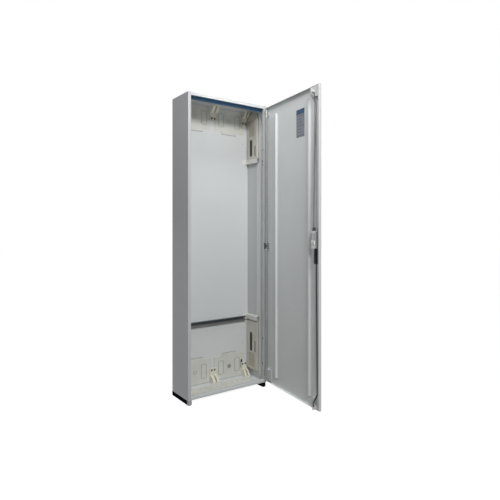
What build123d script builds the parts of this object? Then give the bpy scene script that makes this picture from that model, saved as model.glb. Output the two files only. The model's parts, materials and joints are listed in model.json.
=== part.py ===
"""Electrical distribution cabinet: tall shallow sheet-steel body, two fields wide, with a two-rod door.

Millimetres. The origin is the centre of the footprint on the floor, +Z is up, the front faces -Y
and the door hangs on the +X side. The door stands open by door_open_angle.
"""
from build123d import *
import math
import os

# Enclosure
body_width = 590.0
body_height = 1850.0
body_depth = 213.0
foot_height = 30.0
body_sheet = 1.5
bend_radius = 2.0
rim_width = 20.0
rim_lip_depth = 22.0
rear_lip_width = 18.0

# Openings for the cable-entry plates
end_window_side_margin = 65.0
end_window_front_margin = 56.5
end_window_rear_margin = 73.5
end_plate_overlap = 12.0
rear_window_inset = 23.0
rear_window_height = 120.0
rear_window_margin = 18.5
entry_plate_thickness = 3.0
rear_plate_middle_margin = 15.0
rear_plate_side_margin = 44.0
rear_plate_height = 155.0
rear_plate_margin = 4.5
rear_plate_tongue_inset = 58.0
rear_plate_tongue_height = 15.5
knockout_width = 43.0
knockout_height = 95.0
knockout_inset = 52.0
knockout_round_radius = 14.0
knockout_slot_length = 60.0
knockout_slot_width = 14.0
knockout_slot_inset = 15.0
groove_width = 4.0
groove_depth = 1.8

# Side entry covers
# Drops are measured down from the roof, rises up from the floor
side_cover_depth = 12.0
side_cover_wall = 2.0
side_cover_strut_gap = 10.0
side_cover_rear_gap = 8.5
side_slot_shift = 10.0
side_slot_width = 30.0
side_slit_shift = 36.0
side_slit_width = 12.0
side_slit_share = 0.6
side_recess_shift = 5.0
side_recess_width = 70.0
upper_cover_drops = (332.0, 28.0)
upper_slot_drops = (320.0, 200.0)
upper_recess_drops = (180.0, 70.0)
lower_cover_rises = (54.0, 388.0)
lower_slot_rises = (175.0, 310.0)
lower_recess_rises = (66.0, 166.0)

# Wall struts, rail brackets and cross rail
strut_width = 20.0
strut_height = 6.0
strut_flange = 6.0
strut_front_margin = 62.5
strut_end_gap = 28.5
bracket_sheet = 2.0
bracket_height = 34.0
bracket_width = 16.0
bracket_strut_gap = 1.0
bracket_foot_width = 50.0
upper_bracket_cover_gap = 3.0
lower_bracket_cover_gap = 6.0
rail_side_margin = 31.0
bracket_hole_drop = 5.0
rail_height = 30.0
rail_depth = 18.5
rail_lip = 6.0
rail_sheet = 2.0
rail_drop = 9.0
rail_screw_margin = 40.0
screw_radius = 2.5
screw_head_radius = 5.0
screw_head_height = 2.4
screw_clearance = 0.3

# Frame holders at the floor and the roof
holder_side_margin = 43.0
holder_centre_width = 50.0
holder_side_width = 40.0
holder_depth = 50.5
holder_height = 92.0
holder_web = 9.0
holder_base = 12.0
holder_slot_width = 12.0
holder_hole_radius = 4.5
holder_hole_offset = 11.0

# Blue angle strip under the front top rim
strip_height = 19.0
strip_thickness = 3.0
strip_leg = 2.0
strip_slope = 6.0
strip_end_gap = 2.0

# Feet
foot_width = 30.0
foot_edge_radius = 4.0
foot_cap_length = 14.0
foot_cap_overhang = 1.5
floor_hole_radius = 5.0
floor_hole_side_margin = 19.0
floor_hole_end_margin = 66.5
wall_hole_radius = 5.0
wall_hole_side_margin = 45.0
wall_hole_end_margin = 225.0
lip_hole_radius = 4.0
lip_hole_rises = (126.0, 294.0)
lip_hole_drops = (391.0, 368.0, 293.0)

# Door and hinges
door_side_gap = 3.0
door_end_gap = 17.0
door_depth = 16.0
door_sheet = 1.2
door_lip = 12.0
door_gap = 2.5
door_hinge_edge = 5.0
door_open_angle = 83.0
hinge_low_margin = 49.0
hinge_middle_drop = 12.0
hinge_high_margin = 39.0
hinge_height = 42.0
hinge_barrel_radius = 5.5
hinge_pin_radius = 3.0
hinge_head_radius = 4.6
hinge_head_height = 1.6
hinge_pin_clearance = 0.05
hinge_press_clearance = 0.02
hinge_knuckle = 20.0
hinge_knuckle_gap = 0.4
hinge_leaf_sheet = 2.5
hinge_leaf_length = 27.0
hinge_leaf_hole_s = 20.0
hinge_leaf_hole_z = 12.0
hinge_notch_gap = 4.0
hinge_plate_width = 17.0
hinge_web = 5.0
cover_start_s = 14.0
cover_length = 48.0
cover_low_margin = 9.0
cover_height = 74.0
cover_depth = 18.0
cover_pocket_depth = 5.6
cover_rib_count = 6

# Door stiffeners: distances from the hinge axis, the free edge and the door's ends
stiffener_hinge_distance = 117.0
stiffener_free_distance = 107.0
stiffener_low_margin = 52.0
stiffener_high_margin = 62.0
stiffener_crown = 10.0
stiffener_slope = 7.0
stiffener_flange = 8.0
stiffener_height = 12.0
stiffener_sheet = 1.0

# Lock: spindle, pinion and racks
lock_backset = 39.0
lock_rise = 25.0
spindle_radius = 5.0
spindle_journal_radius = 4.0
running_clearance = 0.05
gear_module = 1.25
pinion_teeth = 12
pressure_angle = 20.0
pinion_addendum = 0.8
rack_addendum = 0.7
dedendum = 1.05
tooth_backlash = 0.12
gear_plane_m = 9.5
gear_thickness = 8.0
rack_outer = 15.0
lock_quarter_turn = 90.0
case_wall = 2.5
case_clearance = 0.5
case_depth = 25.8
case_low_reach = 32.0
case_high_reach = 66.0
case_cover = 2.0
case_window_width = 7.0
case_window_height = 42.0
case_window_drop = 11.0
case_bar_height = 18.0
case_bar_thickness = 2.5
coupling_height = 16.0
coupling_width = 17.0
coupling_gap = 3.0
sleeve_width = 16.0
sleeve_reach = 86.0
escutcheon_width = 5.0
escutcheon_thickness = 2.2
insert_radius = 9.0
insert_clearance = 0.4
insert_gap = 0.2
insert_seat = 1.5
key_recess_radius = 7.0
key_recess_depth = 1.0
key_bar_width = 3.0

# Lock rods
rod_radius = 4.0
rod_clearance = 0.4
rod_bend_radius = 14.0
rod_lean_radius = 100.0
rod_offset = 8.5
rod_tip_m = 24.0
rod_tip_gap = 4.5
rod_door_m = -2.0
upper_crank_drops = (98.0, 56.0)
lower_rod_lock_m = 5.0
lower_crank_rises = (81.0, 41.0)
rod_slot_width = 13.0
rod_slot_depth = 12.0
guide_boss_radius = 7.0
guide_edge_distances = (67.0, 13.0)
guide_top_reach = 63.0
guide_top_boss_drops = (37.0, 15.0)
guide_top_arm_drops = (37.0, 28.5)
guide_bottom_reach = 60.0
guide_bottom_boss_rises = (5.5, 19.0)
guide_arm_width = 14.0

# Worked out from the values above
half_width = body_width / 2
half_depth = body_depth / 2
floor_z = foot_height
roof_z = foot_height + body_height
inner_x = half_width - body_sheet
inner_floor_z = floor_z + body_sheet
inner_roof_z = roof_z - body_sheet
rear_sheet_y = half_depth - 2 * body_sheet
sheet_half = body_sheet / 2


def down_from(end, distances):
    """Places that lie the given distances before an end."""
    return tuple(end - distance for distance in distances)


def up_from(start, distances):
    """Places that lie the given distances beyond a start."""
    return tuple(start + distance for distance in distances)


end_window_width = body_width - 2 * end_window_side_margin
end_window_depth = body_depth - end_window_front_margin - end_window_rear_margin
end_window_y = (end_window_front_margin - end_window_rear_margin) / 2
rear_plate_width = half_width - rear_plate_middle_margin - rear_plate_side_margin
field_centre = rear_plate_middle_margin + rear_plate_width / 2
rear_window_width = rear_plate_width - 2 * rear_window_inset
rear_plate_tongue_width = rear_plate_width - 2 * rear_plate_tongue_inset
knockout_offset = rear_plate_width / 2 - knockout_inset
knockout_slot_offset = rear_plate_width / 2 - knockout_slot_inset
strut_y = -half_depth + strut_front_margin
strut_rear_y = strut_y + strut_width / 2 + strut_flange
side_cover_front_y = strut_rear_y + side_cover_strut_gap
side_cover_rear_y = half_depth - side_cover_rear_gap
side_cover_width = side_cover_rear_y - side_cover_front_y
side_cover_y = (side_cover_rear_y + side_cover_front_y) / 2
side_slot_y = side_cover_y + side_slot_shift
side_slit_y = side_cover_y - side_slit_shift
side_recess_y = side_cover_y + side_recess_shift
upper_cover_z = down_from(roof_z, upper_cover_drops)
upper_slot_z = down_from(roof_z, upper_slot_drops)
upper_recess_z = down_from(roof_z, upper_recess_drops)
lower_cover_z = up_from(floor_z, lower_cover_rises)
lower_slot_z = up_from(floor_z, lower_slot_rises)
lower_recess_z = up_from(floor_z, lower_recess_rises)
bracket_front_y = strut_rear_y + bracket_strut_gap
upper_bracket_z = upper_cover_z[0] - upper_bracket_cover_gap - bracket_height / 2
lower_bracket_z = lower_cover_z[1] + lower_bracket_cover_gap + bracket_height / 2
rail_length = body_width - 2 * rail_side_margin
rail_centre_z = lower_bracket_z - rail_drop
rail_screw_x = half_width - rail_screw_margin
rail_screw_z = lower_bracket_z - bracket_hole_drop
holder_side_x = half_width - holder_side_margin
floor_hole_x = half_width - floor_hole_side_margin
floor_hole_y = half_depth - floor_hole_end_margin
wall_hole_x = half_width - wall_hole_side_margin
wall_hole_low_z = floor_z + wall_hole_end_margin
wall_hole_high_z = roof_z - wall_hole_end_margin
lip_hole_heights = up_from(floor_z, lip_hole_rises) + down_from(roof_z, lip_hole_drops)

door_width = body_width - 2 * door_side_gap
door_height = body_height - 2 * door_end_gap
hinge_x = half_width - door_side_gap - door_hinge_edge
hinge_y = -half_depth - door_gap - door_depth / 2
door_low_z = floor_z + (body_height - door_height) / 2
door_high_z = door_low_z + door_height
door_skin_m = -door_depth / 2 + door_sheet
door_free_s = door_width - door_hinge_edge
door_middle_z = (door_low_z + door_high_z) / 2
hinge_low_z = door_low_z + hinge_low_margin
hinge_high_z = door_high_z - hinge_high_margin
hinge_heights = (hinge_low_z, door_middle_z - hinge_middle_drop, hinge_high_z)
cover_low_z = door_low_z + cover_low_margin
stiffener_positions = (stiffener_hinge_distance, door_free_s - stiffener_free_distance)
stiffener_low_z = door_low_z + stiffener_low_margin
stiffener_high_z = door_high_z - stiffener_high_margin

spindle_s = door_free_s - lock_backset
spindle_z = door_middle_z + lock_rise
case_low_z = spindle_z - case_low_reach
case_high_z = spindle_z + case_high_reach
sleeve_low_z = case_low_z - sleeve_reach
upper_rod_s = spindle_s - rod_offset
lower_rod_s = spindle_s + rod_offset
upper_crank_z = down_from(door_high_z, upper_crank_drops)
lower_crank_z = up_from(door_low_z, lower_crank_rises)
guide_base_s = down_from(door_free_s, guide_edge_distances)
guide_top_low_z = door_high_z - guide_top_reach
guide_top_boss_z = down_from(door_high_z, guide_top_boss_drops)
guide_top_arm_z = down_from(door_high_z, guide_top_arm_drops)
guide_bottom_high_z = door_low_z + guide_bottom_reach
guide_bottom_boss_z = up_from(door_low_z, guide_bottom_boss_rises)
pitch_radius = gear_module * pinion_teeth / 2
rod_travel = pitch_radius * math.radians(lock_quarter_turn)
case_inner_half = rack_outer + case_clearance
case_cover_m = door_skin_m + case_depth
rack_root = pitch_radius + dedendum * gear_module
rack_tooth_reach = 2 * math.pi * gear_module

open_angle = math.radians(door_open_angle)
leaf = Vector(-math.cos(open_angle), -math.sin(open_angle), 0)
inward = Vector(-math.sin(open_angle), math.cos(open_angle), 0)
hinge_line = Vector(hinge_x, hinge_y, 0)


def door_face(m):
    """Plane parallel to the door: local x runs from the hinge axis, local y is height."""
    return Plane(origin=hinge_line + inward * m, x_dir=leaf, z_dir=inward)


def door_section(z):
    """Level plane across the door: local x from the hinge axis, local y into the cabinet, normal down."""
    return Plane(origin=hinge_line + Vector(0, 0, z), x_dir=leaf, z_dir=(0, 0, -1))


def closed_place(s, m):
    """X and Y that a point of the door has when the door is closed."""
    return hinge_x - s, hinge_y + m


def write(piece, name):
    """Label one finished piece and write its STEP file."""
    piece.label = name
    export_step(piece, f"parts/{name}.step")


def folded_sheet(plane, points, length, thickness, radius=bend_radius):
    """Sheet folded along a path of straight runs, drawn on its middle line and extruded."""
    with BuildPart() as sheet:
        with BuildSketch(plane):
            with BuildLine():
                FilletPolyline(*points, radius=radius)
            trace(line_width=thickness)
        extrude(amount=length)
    return sheet.part


def side_panel(side):
    """Side wall with its front rim, the rim's lip and the rear lip."""
    wall_x = side * (half_width - sheet_half)
    rim_x = side * (half_width - rim_width + sheet_half)
    path = [
        (rim_x, -half_depth + rim_lip_depth),
        (rim_x, -half_depth + sheet_half),
        (wall_x, -half_depth + sheet_half),
        (wall_x, half_depth - sheet_half),
        (side * (half_width - rear_lip_width), half_depth - sheet_half),
    ]
    lip_centre_y = -half_depth + rim_lip_depth / 2 + 2.0
    sheet = folded_sheet(Plane.XY.offset(inner_floor_z), path, inner_roof_z - inner_floor_z, body_sheet)
    with BuildPart() as panel:
        add(sheet)
        with BuildSketch(Plane.YZ.offset(rim_x)):
            with Locations(*[(lip_centre_y, z) for z in lip_hole_heights]):
                Circle(lip_hole_radius)
        extrude(amount=body_sheet, both=True, mode=Mode.SUBTRACT)
    return panel.part


def end_panel(upper):
    """Roof or floor: flat plate, front rim with its lip, and a rear flange behind the back panel."""
    up = 1 if upper else -1
    outer_z = roof_z if upper else floor_z
    rim_length = body_width - 2 * rim_width
    rear_length = body_width - 2 * rear_lip_width
    slot_s = upper_rod_s if upper else lower_rod_s
    slot_x, slot_y = closed_place(slot_s, rod_tip_m)
    plate_z = outer_z - up * sheet_half
    rim_z = outer_z - up * (rim_width - sheet_half)
    rim_path = [
        (-half_depth + rim_lip_depth, rim_z),
        (-half_depth + sheet_half, rim_z),
        (-half_depth + sheet_half, plate_z),
        (0, plate_z),
    ]
    rear_path = [
        (0, plate_z),
        (half_depth - sheet_half, plate_z),
        (half_depth - sheet_half, outer_z - up * rear_lip_width),
    ]
    rim = folded_sheet(Plane.YZ.offset(-rim_length / 2), rim_path, rim_length, body_sheet)
    rear = folded_sheet(Plane.YZ.offset(-rear_length / 2), rear_path, rear_length, body_sheet)
    with BuildPart() as panel:
        add(rim)
        add(rear)
        with BuildSketch(Plane.XY.offset(plate_z)):
            Rectangle(body_width, body_depth - 2 * (bend_radius + body_sheet))
            with Locations((-(body_width + rim_length) / 4, 0), ((body_width + rim_length) / 4, 0)):
                Rectangle((body_width - rim_length) / 2, body_depth)
        extrude(amount=sheet_half, both=True)
        with BuildSketch(Plane.XY.offset(plate_z)):
            with Locations((0, end_window_y)):
                RectangleRounded(end_window_width, end_window_depth, 6.0)
        extrude(amount=body_sheet, both=True, mode=Mode.SUBTRACT)
        with BuildSketch(Plane.XY.offset(rim_z)):
            with Locations((slot_x, slot_y)):
                Rectangle(rod_slot_width, rod_slot_depth)
        extrude(amount=body_sheet, both=True, mode=Mode.SUBTRACT)
        if not upper:
            with BuildSketch(Plane.XY.offset(plate_z)):
                with GridLocations(2 * floor_hole_x, 2 * floor_hole_y, 2, 2):
                    Circle(floor_hole_radius)
            extrude(amount=body_sheet, both=True, mode=Mode.SUBTRACT)
    return panel.part


def back_panel():
    """Flat sheet inside the rear lips, cut out behind the rear entry plates."""
    width = body_width - 2 * (body_sheet + bend_radius)
    height = body_height - 2 * (body_sheet + bend_radius)
    window_z = body_height / 2 - body_sheet - rear_window_margin - rear_window_height / 2
    wall_hole_middle = (wall_hole_low_z + wall_hole_high_z) / 2
    with BuildPart() as panel:
        with BuildSketch(Plane.XZ.offset(-rear_sheet_y)):
            with Locations((0, floor_z + body_height / 2)):
                Rectangle(width, height)
                with GridLocations(2 * field_centre, 2 * window_z, 2, 2):
                    RectangleRounded(rear_window_width, rear_window_height, 8.0, mode=Mode.SUBTRACT)
            with Locations((0, wall_hole_middle)):
                with GridLocations(2 * wall_hole_x, wall_hole_high_z - wall_hole_low_z, 2, 2):
                    Circle(wall_hole_radius, mode=Mode.SUBTRACT)
        extrude(amount=-body_sheet)
    return panel.part


def rear_entry_plate(side, upper):
    """Moulded plate over a rear window, with a tongue and the outlines of its knock-outs."""
    up = 1 if upper else -1
    end_z = inner_roof_z if upper else inner_floor_z
    centre_x = side * field_centre
    centre_z = end_z - up * (rear_plate_margin + rear_plate_height / 2)
    tongue_z = centre_z - up * (rear_plate_height + rear_plate_tongue_height) / 2
    front_y = rear_sheet_y - entry_plate_thickness
    with BuildPart() as plate:
        with BuildSketch(Plane.XZ.offset(-front_y)):
            with Locations((centre_x, centre_z)):
                Rectangle(rear_plate_width, rear_plate_height)
            with Locations((centre_x, tongue_z)):
                Rectangle(rear_plate_tongue_width, rear_plate_tongue_height)
        extrude(amount=-entry_plate_thickness)
        with BuildSketch(Plane.XZ.offset(-front_y)):
            with Locations((centre_x - knockout_offset, centre_z), (centre_x + knockout_offset, centre_z)):
                RectangleRounded(knockout_width, knockout_height, 9.0)
                RectangleRounded(
                    knockout_width - 2 * groove_width,
                    knockout_height - 2 * groove_width,
                    5.0,
                    mode=Mode.SUBTRACT,
                )
            with Locations((centre_x, centre_z)):
                Circle(knockout_round_radius)
                Circle(knockout_round_radius - groove_width, mode=Mode.SUBTRACT)
            with Locations((centre_x + side * knockout_slot_offset, centre_z)):
                SlotOverall(knockout_slot_length, knockout_slot_width, rotation=90)
                SlotOverall(
                    knockout_slot_length - 2 * groove_width,
                    knockout_slot_width - 2 * groove_width,
                    rotation=90,
                    mode=Mode.SUBTRACT,
                )
        extrude(amount=-groove_depth, mode=Mode.SUBTRACT)
    return plate.part


def end_entry_plate(upper):
    """Moulded plate inside the roof or floor window, with two rows of oblong knock-outs."""
    up = 1 if upper else -1
    face_z = inner_roof_z if upper else inner_floor_z
    width = end_window_width + 2 * end_plate_overlap
    depth = end_window_depth + 2 * end_plate_overlap
    pitch = width / 4
    mark_length = pitch * 0.7
    mark_width = depth * 0.3
    with BuildPart() as plate:
        with BuildSketch(Plane.XY.offset(face_z)):
            with Locations((0, end_window_y)):
                Rectangle(width, depth)
        extrude(amount=-up * entry_plate_thickness)
        with BuildSketch(Plane.XY.offset(face_z - up * entry_plate_thickness)):
            with Locations((0, end_window_y)):
                with GridLocations(pitch, depth / 2, 4, 2):
                    Rectangle(mark_length, mark_width)
                    Rectangle(
                        mark_length - 2 * groove_width,
                        mark_width - 2 * groove_width,
                        mode=Mode.SUBTRACT,
                    )
        extrude(amount=up * groove_depth, mode=Mode.SUBTRACT)
    return plate.part


def side_entry_cover(side, cover_z, slot_z, recess_z):
    """Box-shaped cover on the side wall with a long slot, a short slit and a wide recess."""
    low_z, high_z = cover_z
    slit_length = side_slit_share * (slot_z[1] - slot_z[0])
    outer_x = side * inner_x
    with BuildPart() as cover:
        with BuildSketch(Plane.YZ.offset(outer_x)):
            with Locations((side_cover_y, (low_z + high_z) / 2)):
                Rectangle(side_cover_width, high_z - low_z)
        extrude(amount=-side * side_cover_depth)
        with BuildSketch(Plane.YZ.offset(outer_x)):
            with Locations((side_cover_y, (low_z + high_z) / 2)):
                Rectangle(side_cover_width - 2 * side_cover_wall, high_z - low_z - 2 * side_cover_wall)
        extrude(amount=-side * (side_cover_depth - side_cover_wall), mode=Mode.SUBTRACT)
        with BuildSketch(Plane.YZ.offset(outer_x)):
            with Locations((side_slot_y, sum(slot_z) / 2)):
                SlotOverall(slot_z[1] - slot_z[0], side_slot_width, rotation=90)
            with Locations((side_slit_y, slot_z[0] + slit_length / 2)):
                SlotOverall(slit_length, side_slit_width, rotation=90)
            with Locations((side_recess_y, sum(recess_z) / 2)):
                RectangleRounded(side_recess_width, recess_z[1] - recess_z[0], 8.0)
        extrude(amount=-side * 2 * side_cover_depth, mode=Mode.SUBTRACT)
    return cover.part


def wall_strut(side):
    """Hat-shaped strut that stiffens the side wall from floor to roof."""
    wall_x = side * (inner_x - stiffener_sheet / 2)
    crown_x = side * (inner_x - strut_height + stiffener_sheet / 2)
    half = strut_width / 2
    path = [
        (wall_x, strut_y - half - strut_flange),
        (wall_x, strut_y - half),
        (crown_x, strut_y - half + strut_height / 2),
        (crown_x, strut_y + half - strut_height / 2),
        (wall_x, strut_y + half),
        (wall_x, strut_y + half + strut_flange),
    ]
    low_z = inner_floor_z + strut_end_gap
    return folded_sheet(
        Plane.XY.offset(low_z), path, inner_roof_z - strut_end_gap - low_z, stiffener_sheet, radius=1.2
    )


def rail_bracket(side, centre_z):
    """Channel along the side wall with a foot on the back panel."""
    low_z = centre_z - bracket_height / 2
    web_x = side * (inner_x - bracket_width + bracket_sheet / 2)
    wall_x = side * inner_x
    foot_centre = side * (inner_x - bracket_foot_width / 2)
    path = [
        (wall_x, low_z + bracket_sheet / 2),
        (web_x, low_z + bracket_sheet / 2),
        (web_x, low_z + bracket_height - bracket_sheet / 2),
        (wall_x, low_z + bracket_height - bracket_sheet / 2),
    ]
    channel = folded_sheet(
        Plane.XZ.offset(-rear_sheet_y), path, rear_sheet_y - bracket_front_y, bracket_sheet
    )
    with BuildPart() as bracket:
        add(channel)
        with BuildSketch(Plane.XZ.offset(-rear_sheet_y)):
            with Locations((foot_centre, centre_z)):
                Rectangle(bracket_foot_width, bracket_height)
        extrude(amount=bracket_sheet)
        with BuildSketch(Plane.XZ.offset(-rear_sheet_y)):
            with Locations((side * rail_screw_x, centre_z - bracket_hole_drop)):
                Circle(screw_radius + screw_clearance)
        extrude(amount=bracket_sheet, mode=Mode.SUBTRACT)
    return bracket.part


def cross_rail():
    """Zinc-plated channel with lips, open to the front, on the feet of the lower brackets."""
    web_y = rear_sheet_y - bracket_sheet - rail_sheet / 2
    front_y = rear_sheet_y - bracket_sheet - rail_depth + rail_sheet / 2
    half = rail_height / 2 - rail_sheet / 2
    path = [
        (front_y, rail_centre_z + half - rail_lip),
        (front_y, rail_centre_z + half),
        (web_y, rail_centre_z + half),
        (web_y, rail_centre_z - half),
        (front_y, rail_centre_z - half),
        (front_y, rail_centre_z - half + rail_lip),
    ]
    channel = folded_sheet(Plane.YZ.offset(-rail_length / 2), path, rail_length, rail_sheet)
    with BuildPart() as rail:
        add(channel)
        with BuildSketch(Plane.XZ.offset(-web_y)):
            with Locations((-rail_screw_x, rail_screw_z), (rail_screw_x, rail_screw_z)):
                Circle(screw_radius + screw_clearance)
        extrude(amount=rail_sheet, both=True, mode=Mode.SUBTRACT)
    return rail.part


def screw_set(planes, grip):
    """Hexagon screws, one on each plane, with the head standing on the plane."""
    with BuildPart() as screws:
        for plane in planes:
            with BuildSketch(plane):
                RegularPolygon(screw_head_radius, 6)
            extrude(amount=screw_head_height)
            with BuildSketch(plane):
                Circle(screw_radius)
            extrude(amount=-grip)
    return screws.part


def frame_holder(centre_x, width, upper):
    """Moulded holder for the fittings' frame: base, upright web with two holes, and a slotted nose."""
    up = 1 if upper else -1
    end_z = inner_roof_z if upper else inner_floor_z
    back_y = rear_sheet_y - entry_plate_thickness
    front_y = back_y - holder_depth
    tip_z = end_z - up * holder_height
    base_z = end_z - up * holder_base
    shoulder_z = end_z - up * holder_height * 0.42
    with BuildPart() as holder:
        with BuildSketch(Plane.YZ.offset(centre_x - width / 2)):
            with BuildLine():
                Polyline(
                    (back_y, end_z),
                    (front_y, end_z),
                    (front_y, base_z),
                    (front_y + holder_depth * 0.3, shoulder_z),
                    (back_y - holder_web, shoulder_z - up * holder_web),
                    (back_y - holder_web, tip_z),
                    (back_y, tip_z),
                    close=True,
                )
            make_face()
        extrude(amount=width)
        with BuildSketch(Plane.XY.offset(end_z - up * holder_base * 0.4)):
            with Locations((centre_x, front_y + (holder_depth - holder_web) / 2)):
                Rectangle(holder_slot_width, holder_depth - holder_web)
        extrude(amount=-up * holder_height, mode=Mode.SUBTRACT)
        with BuildSketch(Plane.XZ.offset(-back_y)):
            with Locations(
                (centre_x - holder_hole_offset, tip_z + up * holder_hole_offset),
                (centre_x + holder_hole_offset, tip_z + up * holder_hole_offset),
            ):
                Circle(holder_hole_radius)
        extrude(amount=2 * holder_web, mode=Mode.SUBTRACT)
    return holder.part


def top_strip():
    """Blue angle strip under the lip of the top rim, slotted for the upper lock rod."""
    length = body_width - 2 * (rim_width + strip_end_gap)
    top_z = roof_z - rim_width
    front_y = -half_depth + body_sheet
    back_y = -half_depth + rim_lip_depth + strip_thickness
    slot_x, slot_y = closed_place(upper_rod_s, rod_tip_m)
    with BuildPart() as strip:
        with BuildSketch(Plane.YZ.offset(-length / 2)):
            with BuildLine():
                Polyline(
                    (front_y, top_z),
                    (back_y, top_z),
                    (back_y, top_z - strip_height),
                    (back_y - strip_thickness, top_z - strip_height),
                    (back_y - strip_thickness, top_z - strip_height / 2),
                    (back_y - strip_thickness - strip_slope, top_z - strip_leg),
                    (front_y, top_z - strip_leg),
                    close=True,
                )
            make_face()
        extrude(amount=length)
        with BuildSketch(Plane.XY.offset(top_z)):
            with Locations((slot_x, slot_y)):
                Rectangle(rod_slot_width, rod_slot_depth)
        extrude(amount=-strip_height, mode=Mode.SUBTRACT)
    return strip.part


def foot_runner(side):
    """Plastic runner under the side panel, drilled for the floor bolts."""
    centre_x = side * (half_width - foot_width / 2)
    cap_start_y = -half_depth - foot_cap_overhang + foot_cap_length
    with BuildPart() as runner:
        with BuildSketch(Plane.XZ.offset(-half_depth)):
            with BuildLine():
                Polyline(
                    (centre_x - foot_width / 2, foot_height),
                    (centre_x + foot_width / 2, foot_height),
                    (centre_x + foot_width / 2, foot_edge_radius),
                    (centre_x + foot_width / 2 - foot_edge_radius, 0),
                    (centre_x - foot_width / 2 + foot_edge_radius, 0),
                    (centre_x - foot_width / 2, foot_edge_radius),
                    close=True,
                )
            make_face()
        extrude(amount=half_depth - cap_start_y)
        with BuildSketch(Plane.XY):
            with Locations((side * floor_hole_x, -floor_hole_y), (side * floor_hole_x, floor_hole_y)):
                Circle(floor_hole_radius)
        extrude(amount=foot_height, mode=Mode.SUBTRACT)
    return runner.part


def foot_cap(side):
    """Round nose that closes the front end of a runner."""
    centre_x = side * (half_width - foot_width / 2)
    cap_start_y = -half_depth - foot_cap_overhang + foot_cap_length
    with BuildPart() as cap:
        with BuildSketch(Plane.XY):
            with BuildLine():
                Line((centre_x + foot_width / 2, cap_start_y), (centre_x - foot_width / 2, cap_start_y))
                ThreePointArc(
                    (centre_x - foot_width / 2, cap_start_y),
                    (centre_x, cap_start_y - foot_cap_length),
                    (centre_x + foot_width / 2, cap_start_y),
                )
            make_face()
        extrude(amount=foot_height)
        bottom_edges = cap.edges().group_by(Axis.Z)[0]
        chamfer(bottom_edges, length=foot_edge_radius * 0.75)
    return cap.part


def hinge_bracket(centre_z):
    """Plate on the right rim with a web out to the middle knuckle."""
    plate_x = half_width - 1.5 - hinge_plate_width / 2
    with BuildPart() as bracket:
        with BuildSketch(Plane.XZ.offset(half_depth)):
            with Locations((plate_x, centre_z)):
                Rectangle(hinge_plate_width, hinge_height)
        extrude(amount=body_sheet)
        with BuildSketch(Plane.XY.offset(centre_z - hinge_knuckle / 2)):
            with Locations((hinge_x, (hinge_y - half_depth) / 2)):
                Rectangle(hinge_web, -half_depth - hinge_y)
            with Locations((hinge_x, hinge_y)):
                Circle(hinge_barrel_radius)
                Circle(hinge_pin_radius + hinge_press_clearance, mode=Mode.SUBTRACT)
        extrude(amount=hinge_knuckle)
    return bracket.part


def hinge_pins():
    """The three hinge pins, each with a flat head and put in from above."""
    with BuildPart() as pins:
        for centre_z in hinge_heights:
            with BuildSketch(Plane.XY.offset(centre_z - hinge_height / 2)):
                with Locations((hinge_x, hinge_y)):
                    Circle(hinge_pin_radius)
            extrude(amount=hinge_height + hinge_knuckle_gap)
            with BuildSketch(Plane.XY.offset(centre_z + hinge_height / 2 + hinge_knuckle_gap)):
                with Locations((hinge_x, hinge_y)):
                    Circle(hinge_head_radius)
            extrude(amount=hinge_head_height)
    return pins.part


def hinge_leaf(centre_z):
    """Leaf on the inside of the door with the two outer knuckles."""
    knuckle_length = (hinge_height - hinge_knuckle) / 2 - hinge_knuckle_gap
    cut_length = hinge_barrel_radius + 1.5
    with BuildPart() as part_leaf:
        with BuildSketch(door_face(door_skin_m)):
            with Locations(((1.0 + hinge_leaf_length) / 2, centre_z)):
                Rectangle(hinge_leaf_length - 1.0, hinge_height)
            with Locations((cut_length / 2, centre_z)):
                Rectangle(cut_length, hinge_knuckle + 2 * hinge_knuckle_gap, mode=Mode.SUBTRACT)
            with Locations((hinge_leaf_hole_s, centre_z)):
                with GridLocations(0, 2 * hinge_leaf_hole_z, 1, 2):
                    Circle(screw_radius + screw_clearance, mode=Mode.SUBTRACT)
        extrude(amount=hinge_leaf_sheet)
        for top_z in (centre_z + hinge_height / 2, centre_z - hinge_knuckle / 2 - hinge_knuckle_gap):
            with BuildSketch(door_section(top_z)):
                Circle(hinge_barrel_radius)
            extrude(amount=knuckle_length)
        with BuildSketch(door_section(centre_z + hinge_height)):
            Circle(hinge_pin_radius + hinge_pin_clearance)
        extrude(amount=2 * hinge_height, mode=Mode.SUBTRACT)
    return part_leaf.part


def door_panel():
    """Door tray: skin with folded sides and lips, closed by the top and bottom folds."""
    half = door_depth / 2 - door_sheet / 2
    hinge_side = -door_hinge_edge + door_sheet / 2
    free_side = door_free_s - door_sheet / 2
    middle_s = (door_free_s - door_hinge_edge) / 2
    path = [
        (hinge_side - door_sheet / 2 + door_lip, half),
        (hinge_side, half),
        (hinge_side, -half),
        (free_side, -half),
        (free_side, half),
        (free_side + door_sheet / 2 - door_lip, half),
    ]
    notch_depth = door_depth - bend_radius - door_sheet / 2
    notch_length = door_lip + 2.0
    tray = folded_sheet(door_section(door_high_z), path, door_height, door_sheet)
    with BuildPart() as panel:
        add(tray)
        for fold_top_z in (door_high_z, door_low_z + door_sheet):
            with BuildSketch(door_section(fold_top_z)):
                with Locations((middle_s, 0)):
                    RectangleRounded(door_width, door_depth, bend_radius + door_sheet / 2)
            extrude(amount=door_sheet)
        for centre_z in hinge_heights:
            with BuildSketch(door_face(door_depth / 2 - notch_depth)):
                with Locations((-door_hinge_edge + notch_length / 2 - 1.0, centre_z)):
                    Rectangle(notch_length, hinge_height + 2 * hinge_notch_gap)
            extrude(amount=notch_depth + 1.0, mode=Mode.SUBTRACT)
        with BuildSketch(door_face(door_skin_m)):
            with Locations((spindle_s, spindle_z)):
                Circle(insert_radius + insert_clearance)
        extrude(amount=-2 * door_sheet, mode=Mode.SUBTRACT)
    return panel.part


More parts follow.
